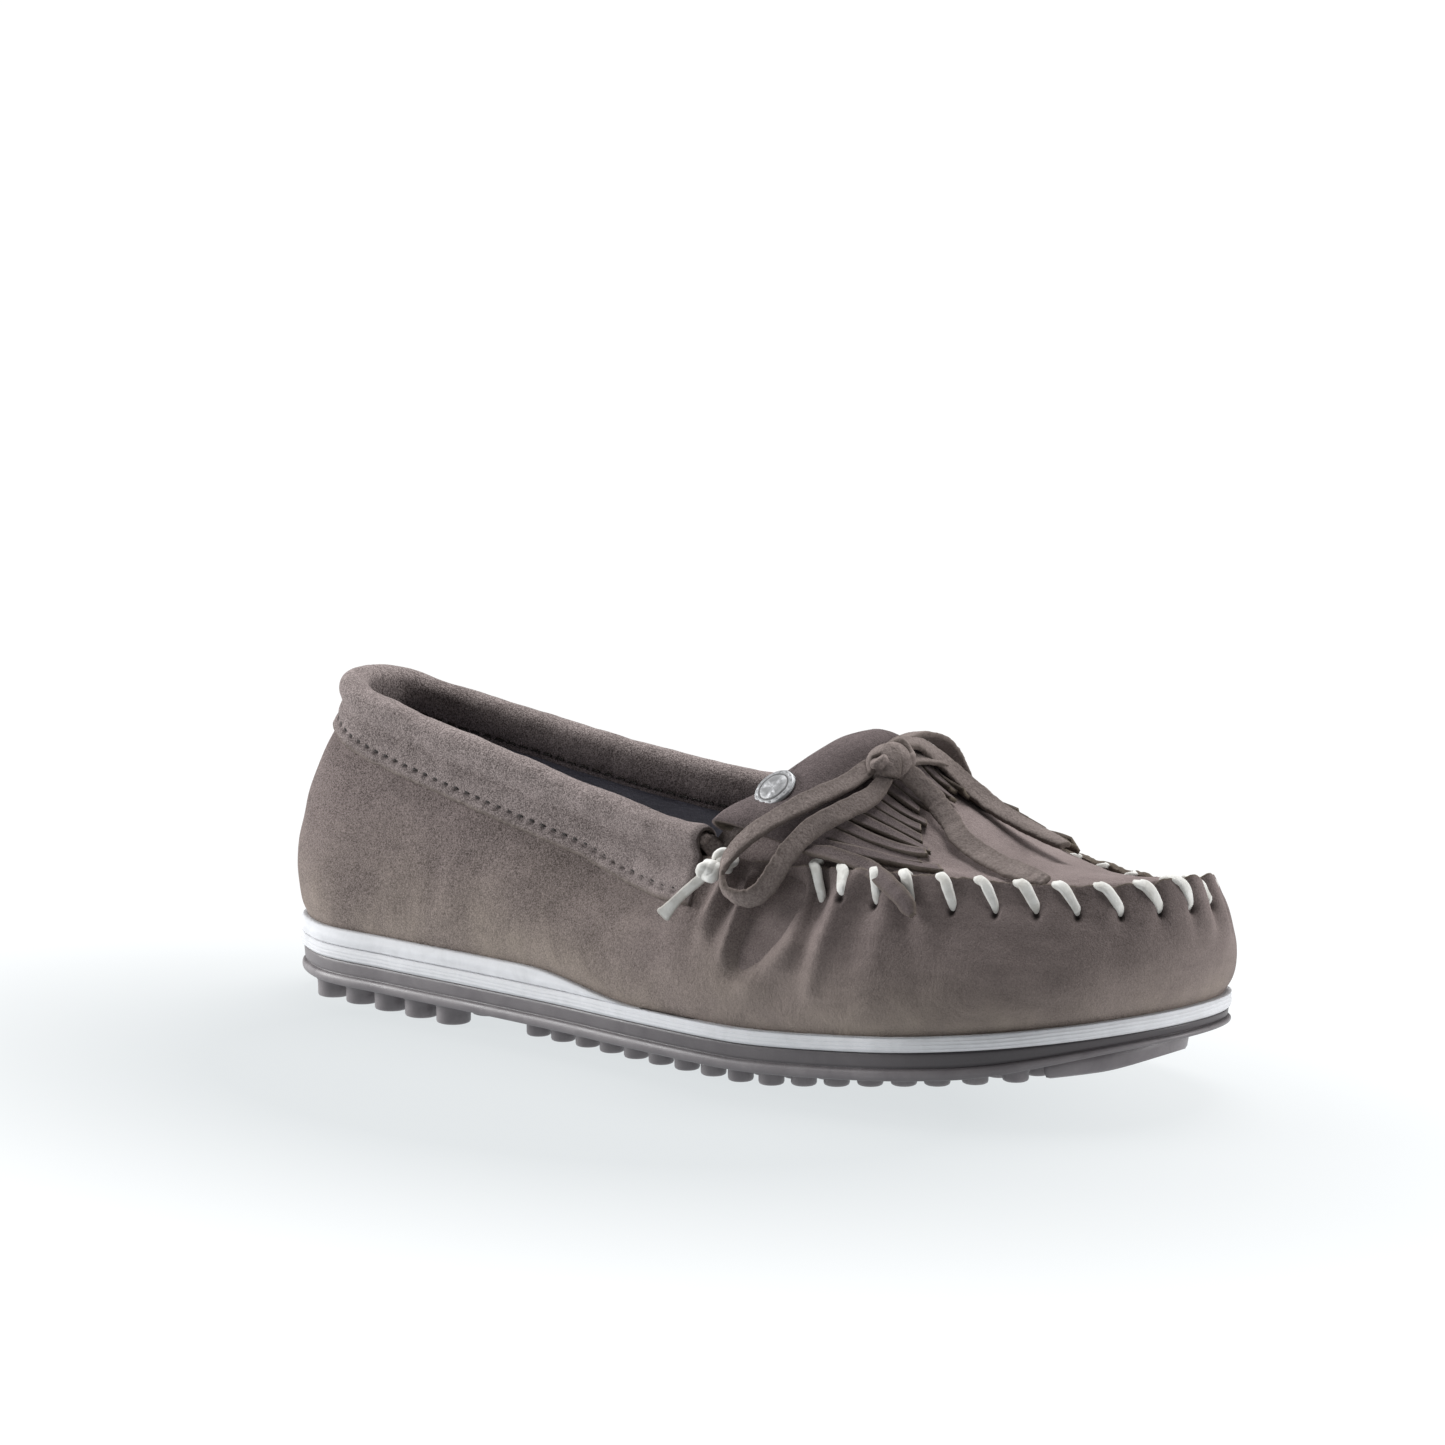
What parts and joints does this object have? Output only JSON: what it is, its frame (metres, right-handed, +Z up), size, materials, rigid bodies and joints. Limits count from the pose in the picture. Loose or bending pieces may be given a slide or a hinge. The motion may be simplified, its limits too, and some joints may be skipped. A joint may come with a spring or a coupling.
{
  "type": "moccasin",
  "caption": "Right women's moccasin: suede wrap and laced toe plug, fringed kiltie with a tied bow, rolled collar, foam midsole and studded rubber outsole.",
  "frame": {"origin": "centre of the bounding box on the surface the shoe stands on, under the arch", "axes": "+X from heel to toe, +Y to the medial side, +Z up; the lateral side faces -Y"},
  "size_m": [0.2553, 0.0886, 0.0786],
  "materials": {
    "suede": "brushed suede nap",
    "suede_lace": "cut suede",
    "lining": "matt woven lining",
    "footbed_foam": "soft foam",
    "board": "fibre board",
    "thread": "twisted thread",
    "white_lacing": "smooth thong",
    "midsole_foam": "satin foam",
    "outsole_rubber": "moulded satin rubber",
    "button_metal": "antique nickel"
  },
  "bodies": {
    "root": {"outsole": "outsole_rubber", "midsole": "midsole_foam", "heel_wedge": "midsole_foam", "upper_wrap": "suede", "heel_counter": "board", "quarter_lining": "lining", "insole_board": "board", "footbed": "footbed_foam", "footbed_cover": "lining", "plug": "suede", "collar_band": "suede", "collar_thread": "thread", "toe_lacing": "white_lacing", "lacing_knot_outer": "white_lacing", "lacing_knot_inner": "white_lacing", "kiltie": "suede", "button": "button_metal", "button_rivet": "button_metal", "lace_tunnel": "suede_lace", "lace_lead_outer": "suede_lace", "lace_lead_inner": "suede_lace", "bow_knot": "suede_lace", "bow_loop_outer": "suede_lace", "bow_loop_inner": "suede_lace", "bow_tail_outer": "suede_lace", "bow_tail_inner": "suede_lace"}
  },
  "joints": []
}
